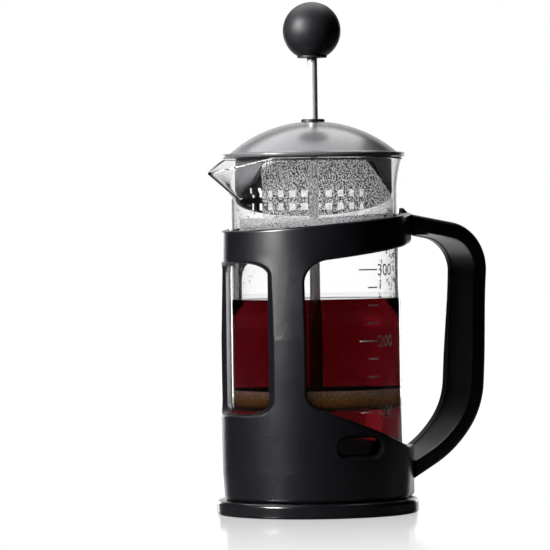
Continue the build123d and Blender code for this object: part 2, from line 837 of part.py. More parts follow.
with BuildPart() as knob_ball:
    with BuildSketch(Plane.XZ):
        with BuildLine():
            Line((0, knob_centre_z + knob_radius), (0, neck_foot_z))
            Polyline((0, neck_foot_z), (knob_neck_radius, neck_foot_z), (knob_neck_radius, knob_flat_z))
            ThreePointArc(
                (knob_neck_radius, knob_flat_z),
                (knob_radius, knob_centre_z),
                (0, knob_centre_z + knob_radius),
            )
        make_face()
    revolve(axis=Axis.Z)
    with BuildSketch(Plane.XY.offset(neck_foot_z)):
        Circle(insert_radius + fit_gap)
    extrude(amount=insert_recess + insert_height + fit_gap, mode=Mode.SUBTRACT)

with BuildPart() as knob_insert:
    groove_z = insert_foot_z + (insert_height - insert_groove_width) / 2
    with BuildSketch(Plane.XY.offset(insert_foot_z)):
        Circle(insert_radius)
    extrude(amount=insert_height)
    with BuildSketch(Plane.XY.offset(groove_z)):
        Circle(insert_radius)
        Circle(insert_radius - insert_groove_depth, mode=Mode.SUBTRACT)
    extrude(amount=insert_groove_width, mode=Mode.SUBTRACT)
    with BuildSketch(Plane.XY.offset(insert_foot_z)):
        Circle(rod_bore)
    extrude(amount=insert_height, mode=Mode.SUBTRACT)

with BuildPart() as rod_collar:
    with BuildSketch(Plane.XY.offset(stack_top_z)):
        Circle(collar_radius)
        Circle(rod_bore, mode=Mode.SUBTRACT)
    extrude(amount=collar_height)
    chamfer(edges().group_by(Axis.Z)[-1].sort_by(SortBy.LENGTH)[-1], collar_chamfer)

with BuildPart() as mesh_filter:
    with BuildSketch(Plane.XY.offset(mesh_foot_z)):
        Circle(mesh_radius)
    extrude(amount=mesh_height)
    fillet(edges().group_by(Axis.Z)[0], mesh_corner)
    offset(amount=-mesh_gauge, openings=faces().sort_by(Axis.Z)[-1])
    with BuildSketch(Plane.XY.offset(mesh_foot_z)):
        Circle(thread_bore)
    extrude(amount=mesh_gauge, mode=Mode.SUBTRACT)

coil_path_radius = mesh_radius - mesh_gauge - fit_gap - coil_radius
coil_z = spiral_foot_z + coil_lift + coil_radius
spiral_radius = coil_path_radius - coil_radius - fit_gap

with BuildPart() as edge_coil:
    with BuildSketch(Plane.XZ):
        with Locations((coil_path_radius, coil_z)):
            Circle(coil_radius)
    revolve(axis=Axis.Z)

with BuildPart() as spiral_plate:
    with BuildSketch(Plane.XY.offset(spiral_foot_z)):
        Circle(spiral_radius)
    extrude(amount=spiral_rim_height)
    with BuildSketch(Plane.XY.offset(stack_top_z)):
        Circle(spiral_radius - spiral_gauge)
    extrude(amount=spiral_rim_height, mode=Mode.SUBTRACT)
    with BuildSketch(Plane.XY.offset(spiral_foot_z)):
        Circle(thread_bore)
        with PolarLocations(spiral_hole_circle, spiral_holes):
            Circle(spiral_hole_radius)
    extrude(amount=spiral_gauge, mode=Mode.SUBTRACT)

with BuildPart() as cross_plate:
    with BuildSketch(Plane.XY.offset(cross_foot_z)):
        Circle(cross_radius)
        with BuildSketch(mode=Mode.SUBTRACT):
            Circle(cross_radius - cross_rim_width)
            Circle(cross_hub_radius, mode=Mode.SUBTRACT)
            with PolarLocations(0, cross_arms // 2, angular_range=180):
                Rectangle(2 * cross_radius, cross_arm_width, mode=Mode.SUBTRACT)
            fillet(vertices(), cross_corner)
        Circle(thread_bore, mode=Mode.SUBTRACT)
    extrude(amount=cross_gauge)

with BuildPart() as hub_nut:
    with BuildSketch(Plane.XY.offset(cross_foot_z)):
        Circle(nut_flange_radius)
    extrude(amount=-nut_flange_height)
    with BuildSketch(Plane.XY.offset(cross_foot_z)):
        RegularPolygon(nut_radius, 6)
    extrude(amount=-nut_height)
    with BuildSketch(Plane.XY.offset(cross_foot_z)):
        Circle(thread_bore)
    extrude(amount=-nut_height, mode=Mode.SUBTRACT)

# ============================================================ output
pieces = {
    "non_slip_pad": non_slip_pad,
    "base_plate": base_plate,
    "base_screws": base_screws,
    "frame_body": frame_body,
    "beaker_cushion": beaker_cushion,
    "handle_shell": handle_shell,
    "handle_liner": handle_liner,
    "handle_screw_upper": handle_screws[0],
    "handle_screw_lower": handle_screws[1],
    "glass_beaker": glass_beaker,
    "lid_dome": lid_dome,
    "lid_strainer": lid_strainer,
    "rod_guide_bush": rod_guide_bush,
    "plunger_rod": plunger_rod,
    "rod_collar": rod_collar,
    "knob_ball": knob_ball,
    "knob_insert": knob_insert,
    "spiral_plate": spiral_plate,
    "edge_coil": edge_coil,
    "mesh_filter": mesh_filter,
    "cross_plate": cross_plate,
    "hub_nut": hub_nut,
}

for name, piece in pieces.items():
    piece.part.label = name
    export_step(piece.part, f"parts/{name}.step")
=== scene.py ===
"""Looks of the French press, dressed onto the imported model.

Metres, in the model's own frame: origin on the beaker's axis at table level,
+X towards the handle, -X towards the spout, +Z up. Angles round the axis start
at +X and grow towards +Y.
"""

import math
import random

import bmesh
import bpy
import numpy as np
from mathutils import Matrix, Vector


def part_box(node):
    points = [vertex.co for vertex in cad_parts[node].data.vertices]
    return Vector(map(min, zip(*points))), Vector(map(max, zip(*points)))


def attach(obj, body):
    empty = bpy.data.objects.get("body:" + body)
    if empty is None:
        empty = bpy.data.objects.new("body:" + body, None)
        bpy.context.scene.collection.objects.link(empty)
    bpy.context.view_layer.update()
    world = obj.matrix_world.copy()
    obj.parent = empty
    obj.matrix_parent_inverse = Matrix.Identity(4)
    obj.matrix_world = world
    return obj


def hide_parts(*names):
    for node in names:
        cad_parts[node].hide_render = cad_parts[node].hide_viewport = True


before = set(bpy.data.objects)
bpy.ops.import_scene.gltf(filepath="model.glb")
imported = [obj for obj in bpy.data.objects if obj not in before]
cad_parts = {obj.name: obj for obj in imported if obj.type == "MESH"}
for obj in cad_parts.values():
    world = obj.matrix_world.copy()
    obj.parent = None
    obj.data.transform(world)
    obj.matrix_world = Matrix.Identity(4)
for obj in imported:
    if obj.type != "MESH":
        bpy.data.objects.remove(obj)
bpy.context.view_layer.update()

MM = 0.001


def low(name):
    """Lowest corner of a CAD node."""
    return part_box(name)[0]


def high(name):
    """Highest corner of a CAD node."""
    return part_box(name)[1]


# ------------------------------------------------------------ camera and view
CAMERA_TURN = math.radians(-28.0)
CAMERA_DISTANCE = 1.614
EYE_HEIGHT = 0.115
CAMERA_ROLL = math.radians(-0.77)
LENS = 257.0                # millimetres of focal length
SIGHT = 20.0                # how far the camera sees
LOOK_HEIGHT = 98.1 * MM
LOOK_ASIDE = -16.4 * MM

towards_camera = Vector((math.sin(CAMERA_TURN), -math.cos(CAMERA_TURN), 0))
picture_right = Vector((math.cos(CAMERA_TURN), math.sin(CAMERA_TURN), 0))
UP = Vector((0, 0, 1))
CAMERA_ANGLE = math.degrees(math.atan2(towards_camera.y, towards_camera.x))


def add_camera():
    """Long-lens camera at the eye's height, looking almost level."""
    camera = bpy.data.objects.new("camera", bpy.data.cameras.new("camera"))
    bpy.context.scene.collection.objects.link(camera)
    camera.data.lens = LENS
    camera.data.clip_end = SIGHT
    camera.location = towards_camera * CAMERA_DISTANCE + UP * EYE_HEIGHT
    target = picture_right * LOOK_ASIDE + UP * LOOK_HEIGHT
    turn = (target - camera.location).to_track_quat("-Z", "Y")
    roll = Matrix.Rotation(CAMERA_ROLL, 4, "Z")
    camera.matrix_world = Matrix.Translation(camera.location) @ turn.to_matrix().to_4x4() @ roll
    bpy.context.scene.camera = camera


# --------------------------------------------------------------- node helpers
def node(tree, kind, inputs=None, **settings):
    """New shader node, with values or sockets given for its inputs."""
    made = tree.nodes.new(kind)
    for name, value in settings.items():
        setattr(made, name, value)
    for key, value in (inputs or {}).items():
        if isinstance(value, bpy.types.NodeSocket):
            tree.links.new(value, made.inputs[key])
        else:
            made.inputs[key].default_value = value
    return made


def math_node(tree, operation, first, second=0.0):
    """Output of a Math node."""
    return node(tree, "ShaderNodeMath", {0: first, 1: second}, operation=operation).outputs[0]


def remap(tree, value, start, end, first, last):
    """Output that runs from first to last while the value runs from start to end."""
    return node(tree, "ShaderNodeMapRange", {
        "Value": value, "From Min": start, "From Max": end, "To Min": first, "To Max": last,
    }).outputs[0]


def shaded(colour, share):
    """A colour made darker or lighter by a share."""
    return tuple(share * channel for channel in colour)


def ramp(tree, factor, stops):
    """Output of a colour ramp with (position, colour) stops."""
    made = node(tree, "ShaderNodeValToRGB", {"Fac": factor})
    elements = made.color_ramp.elements
    while len(elements) < len(stops):
        elements.new(0.5)
    for element, (position, colour) in zip(elements, stops):
        element.position = position
        element.color = (*colour, 1.0)
    return made.outputs["Color"]


def grey(value):
    """A grey colour."""
    return (value, value, value)


def noise(tree, scale, detail=2.0, vector=None, roughness=0.5):
    """Factor of a noise texture in object coordinates, with its scale per metre."""
    vector = vector or node(tree, "ShaderNodeTexCoord").outputs["Object"]
    made = node(
        tree, "ShaderNodeTexNoise",
        {"Vector": vector, "Scale": scale, "Detail": detail, "Roughness": roughness},
    )
    return made.outputs["Fac"]


def stretched(tree, x, y, z):
    """Object coordinates scaled along each axis."""
    where = node(tree, "ShaderNodeTexCoord").outputs["Object"]
    return node(tree, "ShaderNodeMapping", {"Vector": where, "Scale": (x, y, z)}).outputs[0]


def bump(tree, height, strength, depth):
    """Normal of a bump, with its depth in metres."""
    inputs = {"Height": height, "Strength": strength, "Distance": depth}
    return node(tree, "ShaderNodeBump", inputs).outputs["Normal"]


def material(name, **constants):
    """New Principled material, with constants set on the shader's own sockets."""
    made = bpy.data.materials.new(name)
    made.use_nodes = True
    shader = made.node_tree.nodes["Principled BSDF"]
    for key, value in constants.items():
        socket = shader.inputs[key.replace("_", " ")]
        socket.default_value = (*value, 1.0) if isinstance(value, tuple) else value
    return made, made.node_tree, shader


def link(tree, output, shader, name):
    """Joins an output to one of the shader's inputs."""
    tree.links.new(output, shader.inputs[name])


# ------------------------------------------------------------------ materials
GRAINS_TO_A_PATCH = 24      # of the plastic's gloss, which differs a little from patch to patch
PLASTIC_SPREAD = 0.10       # of the roughness over the patches
STEEL_SPREAD = 0.12         # of the roughness across the finish lines
WEAVE_PITCH = 0.42 * MM
WATER_IOR = 1.333


def moulded_plastic(name, shade, roughness, grain, depth, specular):
    """Moulded plastic with a soft gloss and a fine grain, stated in grains to a metre."""
    made, tree, shader = material(name, Specular_IOR_Level=specular)
    fine = noise(tree, grain, 3.0)
    broad = noise(tree, grain / GRAINS_TO_A_PATCH, 2.0)
    colour = ramp(tree, fine, [(0.30, shaded(shade, 0.72)), (0.72, shaded(shade, 1.35))])
    link(tree, colour, shader, "Base Color")
    spread = math_node(tree, "MULTIPLY", broad, PLASTIC_SPREAD)
    link(tree, math_node(tree, "ADD", spread, roughness - PLASTIC_SPREAD / 2), shader, "Roughness")
    link(tree, bump(tree, fine, 1.0, depth), shader, "Normal")
    return made


def rubber():
    """Matt dark rubber."""
    made, tree, shader = material("rubber", Roughness=0.8, Specular_IOR_Level=0.3)
    spots = noise(tree, 900, 3.0)
    link(tree, ramp(tree, spots, [(0.3, grey(0.018)), (0.7, grey(0.035))]), shader, "Base Color")
    link(tree, bump(tree, spots, 1.0, 0.05 * MM), shader, "Normal")
    return made


def steel(name, tint, roughness, grain_x, grain_z, metallic=1.0):
    """Metal with a fine finish, stated in lines to a metre across and along the axis."""
    made, tree, shader = material(name, Metallic=metallic)
    lines = noise(tree, 1.0, 3.0, stretched(tree, grain_x, grain_x, grain_z))
    link(tree, ramp(tree, lines, [(0.3, shaded(tint, 0.80)), (0.7, tint)]), shader, "Base Color")
    spread = math_node(tree, "MULTIPLY", lines, STEEL_SPREAD)
    link(tree, math_node(tree, "ADD", spread, roughness - STEEL_SPREAD / 2), shader, "Roughness")
    link(tree, bump(tree, lines, 0.4, 0.01 * MM), shader, "Normal")
    return made


def around(tree):
    """Distance round the axis at the beaker's inner wall, and height, both in metres."""
    where = node(tree, "ShaderNodeTexCoord").outputs["Object"]
    parts = node(tree, "ShaderNodeSeparateXYZ", {0: where})
    turn = math_node(tree, "ARCTAN2", parts.outputs["Y"], parts.outputs["X"])
    return math_node(tree, "MULTIPLY", turn, BEAKER_INNER), parts.outputs["Z"]


def threads(tree, along):
    """Wave with a crest at each thread of the weave."""
    return math_node(tree, "SINE", math_node(tree, "MULTIPLY", along, 2 * math.pi / WEAVE_PITCH))


def woven_mesh():
    """Fine steel weave, clogged with wet grounds that get browner towards its foot."""
    made, tree, shader = material("woven_mesh", Metallic=0.25, Specular_IOR_Level=0.5, Roughness=0.5)
    arc, height = around(tree)
    weave = math_node(tree, "MULTIPLY", threads(tree, arc), threads(tree, height))
    grounds = noise(tree, 900, 4.0, roughness=0.7)
    climb = remap(tree, height, low("mesh_filter").z, high("mesh_filter").z, 0.0, 1.0)
    uneven = math_node(tree, "MULTIPLY", math_node(tree, "SUBTRACT", grounds, 0.5), 0.9)
    soil = ramp(tree, math_node(tree, "ADD", climb, uneven), [
        (0.00, (0.12, 0.046, 0.010)),
        (0.22, (0.24, 0.115, 0.014)),
        (0.48, (0.34, 0.215, 0.036)),
        (0.75, (0.36, 0.280, 0.170)),
        (1.00, (0.46, 0.400, 0.330)),
    ])
    speckle = ramp(tree, noise(tree, 2200, 2.0), [(0.38, grey(0.35)), (0.60, grey(1.0))])
    mixed = node(
        tree, "ShaderNodeMix", {"Factor": 1.0, 6: soil, 7: speckle}, data_type="RGBA", blend_type="MULTIPLY"
    )
    link(tree, mixed.outputs[2], shader, "Base Color")
    rise = math_node(tree, "ADD", math_node(tree, "MULTIPLY", weave, 0.25), grounds)
    link(tree, bump(tree, rise, 0.8, 0.2 * MM), shader, "Normal")
    return made


def clear_glass():
    """Clear borosilicate glass with a faint unevenness."""
    made, tree, shader = material(
        "clear_glass", Base_Color=(0.995, 0.998, 0.998), Roughness=0.0, IOR=1.47, Transmission_Weight=1.0
    )
    ripple = noise(tree, 26, 1.0)
    link(tree, bump(tree, ripple, 0.25, 0.12 * MM), shader, "Normal")
    return made


def water():
    """Water, in drops on the glass."""
    return material(
        "water", Base_Color=(0.97, 0.98, 1.0), Roughness=0.02, IOR=WATER_IOR, Transmission_Weight=1.0
    )[0]


def fog_drops():
    """Drops of condensation so fine that they look white."""
    made, tree, shader = material("fog_drops", Roughness=0.25, IOR=WATER_IOR, Specular_IOR_Level=0.8)
    tone = ramp(tree, noise(tree, 1400, 1.0), [(0.35, (0.93, 0.93, 0.97)), (0.65, grey(1.0))])
    link(tree, tone, shader, "Base Color")
    return made


def coffee():
    """Black coffee: clear to the eye only in thin layers, deep red against the light."""
    made, tree, _ = material(
        "coffee", Base_Color=(0.80, 0.55, 0.50), Roughness=0.0, IOR=WATER_IOR, Transmission_Weight=1.0
    )
    tint = {"Color": (0.60, 0.06, 0.18, 1.0), "Density": 108.0}
    absorb = node(tree, "ShaderNodeVolumeAbsorption", tint)
    tree.links.new(absorb.outputs[0], tree.nodes["Material Output"].inputs["Volume"])
    return made


def enamel():
    """White enamel print on the glass, a little worn."""
    made, tree, shader = material("enamel", Roughness=0.45, Specular_IOR_Level=0.4)
    wear = noise(tree, 1300, 3.0)
    link(tree, ramp(tree, wear, [(0.25, grey(0.62)), (0.55, grey(0.86))]), shader, "Base Color")
    return made


def brass():
    """Turned brass."""
    return steel("brass", (0.72, 0.54, 0.26), 0.3, 400, 4000)


# ------------------------------------------------------------------- geometry
def new_piece(name, vertices, faces, surface, body, smooth=True):
    """Mesh object that rides on a body."""
    mesh = bpy.data.meshes.new(name)
    mesh.from_pydata([tuple(v) for v in vertices], [], [tuple(f) for f in faces])
    mesh.validate()
    mesh.update()
    if smooth:
        mesh.shade_smooth()
    mesh.materials.append(surface)
    piece = bpy.data.objects.new(name, mesh)
    bpy.context.scene.collection.objects.link(piece)
    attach(piece, body)
    return piece


def turn_faces_out(piece):
    """Makes the normals of a closed mesh point outwards."""
    work = bmesh.new()
    work.from_mesh(piece.data)
    bmesh.ops.recalc_face_normals(work, faces=work.faces)
    work.to_mesh(piece.data)
    work.free()


def grid_faces(rows, columns, first=0):
    """Quads of a grid of points that closes round each row."""
    faces = []
    for row in range(rows - 1):
        for column in range(columns):
            a = first + row * columns + column
            b = first + row * columns + (column + 1) % columns
            faces.append((a, b, b + columns, a + columns))
    return faces


def on_wall(radius, angle, z):
    """Point on a cylinder round the axis, with the angle in degrees."""
    turn = math.radians(angle)
    return Vector((radius * math.cos(turn), radius * math.sin(turn), z))


# --------------------------------------------------------------------- beaker
BEAKER_RADIUS = 35.0 * MM
BEAKER_WALL = 1.8 * MM
BEAKER_INNER = BEAKER_RADIUS - BEAKER_WALL
BEAKER_FLOOR = 2.4 * MM
BEAKER_CORNER = 7.0 * MM
RIM_FLARE = 2.4 * MM
FLARE_HEIGHT = 14.5 * MM
KEEL_HEIGHT = 17.0 * MM     # of the spout's foot below the rim
KEEL_SLOPE = 15.3 / 11.0    # outwards over upwards
TIP_ROUND = 0.030           # radians of the spout's tip that are rounded off
SPOUT_FALL = 0.315          # how steeply the rim falls towards the tip
FALL_START = 31.0 * MM      # from the axis
FALL_ROUNDS = 20            # for the rim's height and reach to agree
COLUMN_BANDS = ((0, 6, 0.5), (6, 50, 1.25), (50, 180, 2.5))     # degrees off the spout: from, to, step
NECK_FOOT = 3.0 * MM        # below the keel's foot
FLOOR_SHARES = (0.66, 0.33)
CORNER_STEPS = 8
NECK_STEPS = 40
RIM_STEPS = 6

beaker_foot = low("glass_beaker").z
beaker_rim = high("glass_beaker").z
flare_foot = beaker_rim - FLARE_HEIGHT
keel_foot = beaker_rim - KEEL_HEIGHT
neck_foot = keel_foot - NECK_FOOT


def wall_radius(z, inset):
    """Radius of the beaker's round wall at a height."""
    above = min(max(z - flare_foot, 0.0), FLARE_HEIGHT)
    arc = (FLARE_HEIGHT**2 + RIM_FLARE**2) / (2 * RIM_FLARE)
    return BEAKER_RADIUS - inset + arc - math.sqrt(arc**2 - above**2)


def spout_radius(off, z, inset):
    """Radius at an angle off the spout, in radians: the beak is drawn tangent to the wall."""
    wall = wall_radius(z, inset)
    tip = BEAKER_RADIUS + KEEL_SLOPE * (z - keel_foot) - inset * math.sqrt(2)
    if tip <= wall:
        return wall
    spread = math.acos(wall / tip)
    eased = math.sqrt(off**2 + TIP_ROUND**2)
    return wall if eased >= spread else wall / math.cos(spread - eased)


def rim_height(off):
    """Height of the rim at an angle off the spout."""
    z = beaker_rim - BEAKER_WALL / 2
    for _ in range(FALL_ROUNDS):
        reach = spout_radius(off, z, 0.0) * math.cos(off)
        z = beaker_rim - BEAKER_WALL / 2 - SPOUT_FALL * max(0.0, reach - FALL_START)
    return z


def glass_columns():
    """Angles off the spout, in radians, closer together near its tip."""
    half = np.concatenate([np.arange(*band) for band in COLUMN_BANDS])
    return np.radians(np.concatenate([half, [180.0], -half[:0:-1]]))


def wall_rows(off, inset, floor_z):
    """(radius, height) down one column of the wall, from its rim to the middle of the floor."""
    top = rim_height(off)
    corner = BEAKER_CORNER - inset
    side = BEAKER_RADIUS - inset
    rows = []
    for step in range(NECK_STEPS):
        z = top + (neck_foot - top) * step / NECK_STEPS
        rows.append((spout_radius(off, z, inset), z))
    for z in (neck_foot, (keel_foot + floor_z) / 2):
        rows.append((side, z))
    for step in range(CORNER_STEPS + 1):
        turn = math.pi / 2 * step / CORNER_STEPS
        rows.append((side - corner * (1 - math.cos(turn)), floor_z + corner * (1 - math.sin(turn))))
    rows += [((side - corner) * share, floor_z) for share in FLOOR_SHARES]
    return rows


def make_beaker():
    """Glass beaker with a rounded rim and a drawn spout, as one closed skin."""
    columns = glass_columns()
    count = len(columns)
    skin = []
    for off in columns:
        outer = wall_rows(off, 0.0, beaker_foot)
        inner = wall_rows(off, BEAKER_WALL, beaker_foot + BEAKER_FLOOR)
        middle = (outer[0][0] + inner[0][0]) / 2
        half = (outer[0][0] - inner[0][0]) / 2
        lip = []
        for step in range(1, RIM_STEPS):
            turn = math.pi * step / RIM_STEPS
            lip.append((middle + half * math.cos(turn), outer[0][1] + BEAKER_WALL / 2 * math.sin(turn)))
        turn = math.pi - off
        skin.append([(r * math.cos(turn), r * math.sin(turn), z) for r, z in outer[::-1] + lip + inner])
    rows = len(skin[0])
    vertices = [skin[c][r] for r in range(rows) for c in range(count)]
    faces = grid_faces(rows, count)
    vertices += [(0, 0, beaker_foot), (0, 0, beaker_foot + BEAKER_FLOOR)]
    bottom, floor = rows * count, rows * count + 1
    last = (rows - 1) * count
    for column in range(count):
        after = (column + 1) % count
        faces.append((bottom, after, column))
        faces.append((floor, last + column, last + after))
    piece = new_piece("beaker_glass", vertices, faces, clear_glass(), "beaker")
    turn_faces_out(piece)
    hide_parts("glass_beaker")


# --------------------------------------------------------------------- coffee
COFFEE_LEVEL = 88.0 * MM
COFFEE_SINK = 0.05 * MM     # into the glass, so that no film of air is left between
COFFEE_COLUMNS = 144
SIDE_ROWS = 6
TOP_SHARES = (0.8, 0.5, 0.2)
MENISCUS = 0.3 * MM
MENISCUS_FADE = 0.7 * MM
MENISCUS_STEP = 0.5 * MM
MENISCUS_ROWS = 6


def make_coffee():
    """Coffee in the beaker, with a meniscus where it meets the glass."""
    side = BEAKER_INNER + COFFEE_SINK
    floor_z = beaker_foot + BEAKER_FLOOR - COFFEE_SINK
    corner = BEAKER_CORNER - BEAKER_WALL
    profile = [((side - corner) * share, floor_z) for share in reversed(FLOOR_SHARES)]
    for step in range(CORNER_STEPS + 1):
        turn = math.pi / 2 * step / CORNER_STEPS
        profile.append((side - corner * (1 - math.sin(turn)), floor_z + corner * (1 - math.cos(turn))))
    profile += [(side, z) for z in np.linspace(floor_z + 2 * corner, COFFEE_LEVEL + MENISCUS, SIDE_ROWS)]
    for step in range(1, MENISCUS_ROWS + 1):
        away = MENISCUS_STEP * step
        profile.append((BEAKER_INNER - away, COFFEE_LEVEL + MENISCUS * math.exp(-away / MENISCUS_FADE)))
    profile += [(side * share, COFFEE_LEVEL) for share in TOP_SHARES]
    vertices = []
    for radius, z in profile:
        for column in range(COFFEE_COLUMNS):
            turn = 2 * math.pi * column / COFFEE_COLUMNS
            vertices.append((radius * math.cos(turn), radius * math.sin(turn), z))
    faces = grid_faces(len(profile), COFFEE_COLUMNS)
    last = (len(profile) - 1) * COFFEE_COLUMNS
    faces.append(tuple(reversed(range(COFFEE_COLUMNS))))
    faces.append(tuple(range(last, last + COFFEE_COLUMNS)))
    turn_faces_out(new_piece("coffee_fill", vertices, faces, coffee(), "beaker"))


# ---------------------------------------------------------------------- drops
# Rings of a drop from its foot, which is sunk in the glass: (share of its radius, rise).
CAP_RINGS = ((1.0, -0.12), (0.97, 0.16), (0.72, 0.42), (0.36, 0.56))
CAP_TOP = 0.60
CAP_SIDES = 7


def drop_caps(places, name, surface):
    """Small closed lenses on the beaker, one for each place.

    A place is (foot, direction off the glass, radius, height share, stretch upwards).
    """
    vertices = []
    faces = []
    for foot, out, radius, tall, stretch in places:
        side = out.cross(UP).normalized()
        up = side.cross(out).normalized()
        first = len(vertices)
        for ring, rise in CAP_RINGS:
            for step in range(CAP_SIDES):
                turn = 2 * math.pi * step / CAP_SIDES
                spread = side * math.cos(turn) + up * math.sin(turn) * stretch
                vertices.append(foot + spread * (ring * radius) + out * (rise * radius * tall))
        top = len(vertices)
        vertices.append(foot + out * (CAP_TOP * radius * tall))
        faces += grid_faces(len(CAP_RINGS), CAP_SIDES, first)
        faces.append(tuple(first + step for step in reversed(range(CAP_SIDES))))
        for step in range(CAP_SIDES):
            last = first + (len(CAP_RINGS) - 1) * CAP_SIDES
            faces.append((last + step, last + (step + 1) % CAP_SIDES, top))
    turn_faces_out(new_piece(name, vertices, faces, surface, "beaker"))


FOG_LEFT = CAMERA_ANGLE - 38.0
FOG_RIGHT = CAMERA_ANGLE + 70.0
FOG_FOOT = 121.5 * MM
FOG_TOP = 144.6 * MM
FOG_CORNER = 5.0 * MM
FOG_PITCH = 0.56 * MM
FOG_FILL = 0.93             # share of the grid's places that hold a drop
FOG_SLANT = 34.0            # degrees that the right edge runs back between foot and top
SLANT_START = 0.3           # share of the fog's height below which that edge is upright

WET_LEFT = CAMERA_ANGLE - 62.0
WET_RIGHT = CAMERA_ANGLE + 66.0
WET_FOOT = 111.5 * MM
WET_PITCH = 0.42 * MM
WET_FILL = 0.90

# Fields of bigger drops: how many, from and to in degrees off the camera's side, from and to
# in millimetres of height, smallest and largest radius in millimetres.
DROP_FIELDS = (
    (90, -60, 66, 112.0, 122.5, 0.16, 0.42),
    (120, 50, 78, 88, 118, 0.2, 0.6),
    (60, -75, -45, 92, 128, 0.15, 0.4),
)
random.seed(11)


def in_fog(angle, z):
    """Whether the glass is fogged there."""
    share = (z - FOG_FOOT) / (FOG_TOP - FOG_FOOT)
    if angle > FOG_RIGHT - FOG_SLANT * max(0.0, share - SLANT_START) / (1 - SLANT_START):
        return False
    arc = math.radians(angle - FOG_LEFT) * BEAKER_INNER
    from_top = FOG_TOP - z
    if arc < FOG_CORNER and from_top < FOG_CORNER:
        return math.hypot(FOG_CORNER - arc, FOG_CORNER - from_top) < FOG_CORNER
    return arc > 0 and from_top > 0


def inner_wall(angle, z):
    """Point on the beaker's inner wall, and the direction out of the glass there."""
    radius = wall_radius(z, BEAKER_WALL)
    foot = on_wall(radius, angle, z)
    return foot, -Vector((foot.x, foot.y, 0)).normalized()


def close_grid(left, right, foot_z, top_z, pitch, astray, adrift):
    """(angle, height) over a close grid, off by up to astray degrees and adrift millimetres."""
    z = foot_z
    while z < top_z:
        angle = left
        while angle < right:
            yield angle + random.uniform(-astray, astray), z + random.uniform(-adrift, adrift) * MM
            angle += math.degrees(pitch / BEAKER_INNER)
        z += pitch


def fine_drop(angle, z, radii, talls):
    """Place of a fine drop, with its radius in millimetres and its height share in stated ranges."""
    foot, out = inner_wall(angle, z)
    radius = random.uniform(*radii) * MM
    return foot, out, radius, random.uniform(*talls), random.uniform(0.9, 1.2)


def make_fog():
    """Fine condensation in front of the strainer."""
    places = []
    for at, level in close_grid(FOG_LEFT, FOG_RIGHT, FOG_FOOT, FOG_TOP, FOG_PITCH, 0.45, 0.2):
        if in_fog(at, level) and random.random() < FOG_FILL:
            places.append(fine_drop(at, level, (0.18, 0.34), (0.7, 1.1)))
    drop_caps(places, "condensation", fog_drops())


def make_wet_band():
    """Dense condensation between the strainer and the ring."""
    places = []
    for at, level in close_grid(WET_LEFT, WET_RIGHT, WET_FOOT, FOG_FOOT, WET_PITCH, 0.3, 0.12):
        if random.random() < WET_FILL:
            places.append(fine_drop(at, level, (0.22, 0.34), (0.5, 0.9)))
    drop_caps(places, "wet_band", fog_drops())


def make_drops():
    """Bigger drops of water: under the fog, and where the wall is wet by the handle and the spout."""
    places = []
    for count, left, right, foot_z, top_z, small, large in DROP_FIELDS:
        for _ in range(count):
            at = CAMERA_ANGLE + random.uniform(left, right)
            foot, out = inner_wall(at, random.uniform(foot_z, top_z) * MM)
            radius = random.uniform(small, large) * MM
            places.append((foot, out, radius, random.uniform(0.6, 0.9), random.uniform(0.9, 1.5)))
    drop_caps(places, "water_drops", water())


# ---------------------------------------------------------------------- print
PRINT_LIFT = 0.02 * MM
PRINT_THICKNESS = 0.04 * MM
PRINT_ANGLE = CAMERA_ANGLE + 46.0
LITTLE_MARK = 5.0 * MM
LARGE_MARK = 9.5 * MM
LINE_WIDTH = 0.55 * MM
FIGURE_HEIGHT = 4.6 * MM
FIGURE_SHARE = 0.70         # a figure's height as a share of the font's size
FIRST_VOLUME = 100          # millilitres
LAST_VOLUME = 300
VOLUME_STEP = 25
FIGURE_STEP = 100
MILLILITRES_PER_METRE = 1e6 * math.pi * BEAKER_INNER**2         # of height


def wrap_on_glass(points, angle, z):
    """Flat points (x, y, depth) bent round the outside of the beaker at an angle and a height."""
    bent = []
    for x, y, depth in points:
        radius = BEAKER_RADIUS + PRINT_LIFT + depth
        turn = math.radians(angle) + x / BEAKER_RADIUS
        bent.append((radius * math.cos(turn), radius * math.sin(turn), z + y))
    return bent


def flat_bar(left, right, foot, top, steps=8):
    """Closed flat bar as points and faces, cut into steps so that it bends."""
    points = []
    for depth in (0.0, PRINT_THICKNESS):
        for step in range(steps + 1):
            x = left + (right - left) * step / steps
            points += [(x, foot, depth), (x, top, depth)]
    back = 2 * (steps + 1)
    faces = []
    for step in range(steps):
        a = 2 * step
        faces.append((a, a + 1, a + 3, a + 2))
        faces.append((back + a, back + a + 2, back + a + 3, back + a + 1))
        faces.append((a, a + 2, back + a + 2, back + a))
        faces.append((a + 1, back + a + 1, back + a + 3, a + 3))
    end = 2 * steps
    faces.append((0, back, back + 1, 1))
    faces.append((end, end + 1, back + end + 1, back + end))
    return points, faces


def figures(text, height):
    """Flat points and faces of plain figures, whose left foot is at the origin."""
    curve = bpy.data.curves.new("figures", "FONT")
    curve.body = text
    curve.size = height / FIGURE_SHARE
    curve.extrude = PRINT_THICKNESS / 2
    carrier = bpy.data.objects.new("figures", curve)
    bpy.context.scene.collection.objects.link(carrier)
    bpy.context.view_layer.update()
    drawn = carrier.evaluated_get(bpy.context.evaluated_depsgraph_get())
    mesh = bpy.data.meshes.new_from_object(drawn)
    points = [(v.co.x, v.co.y, v.co.z + PRINT_THICKNESS / 2) for v in mesh.vertices]
    faces = [tuple(p.vertices) for p in mesh.polygons]
    bpy.data.objects.remove(carrier)
    bpy.data.curves.remove(curve)
    bpy.data.meshes.remove(mesh)
    return points, faces


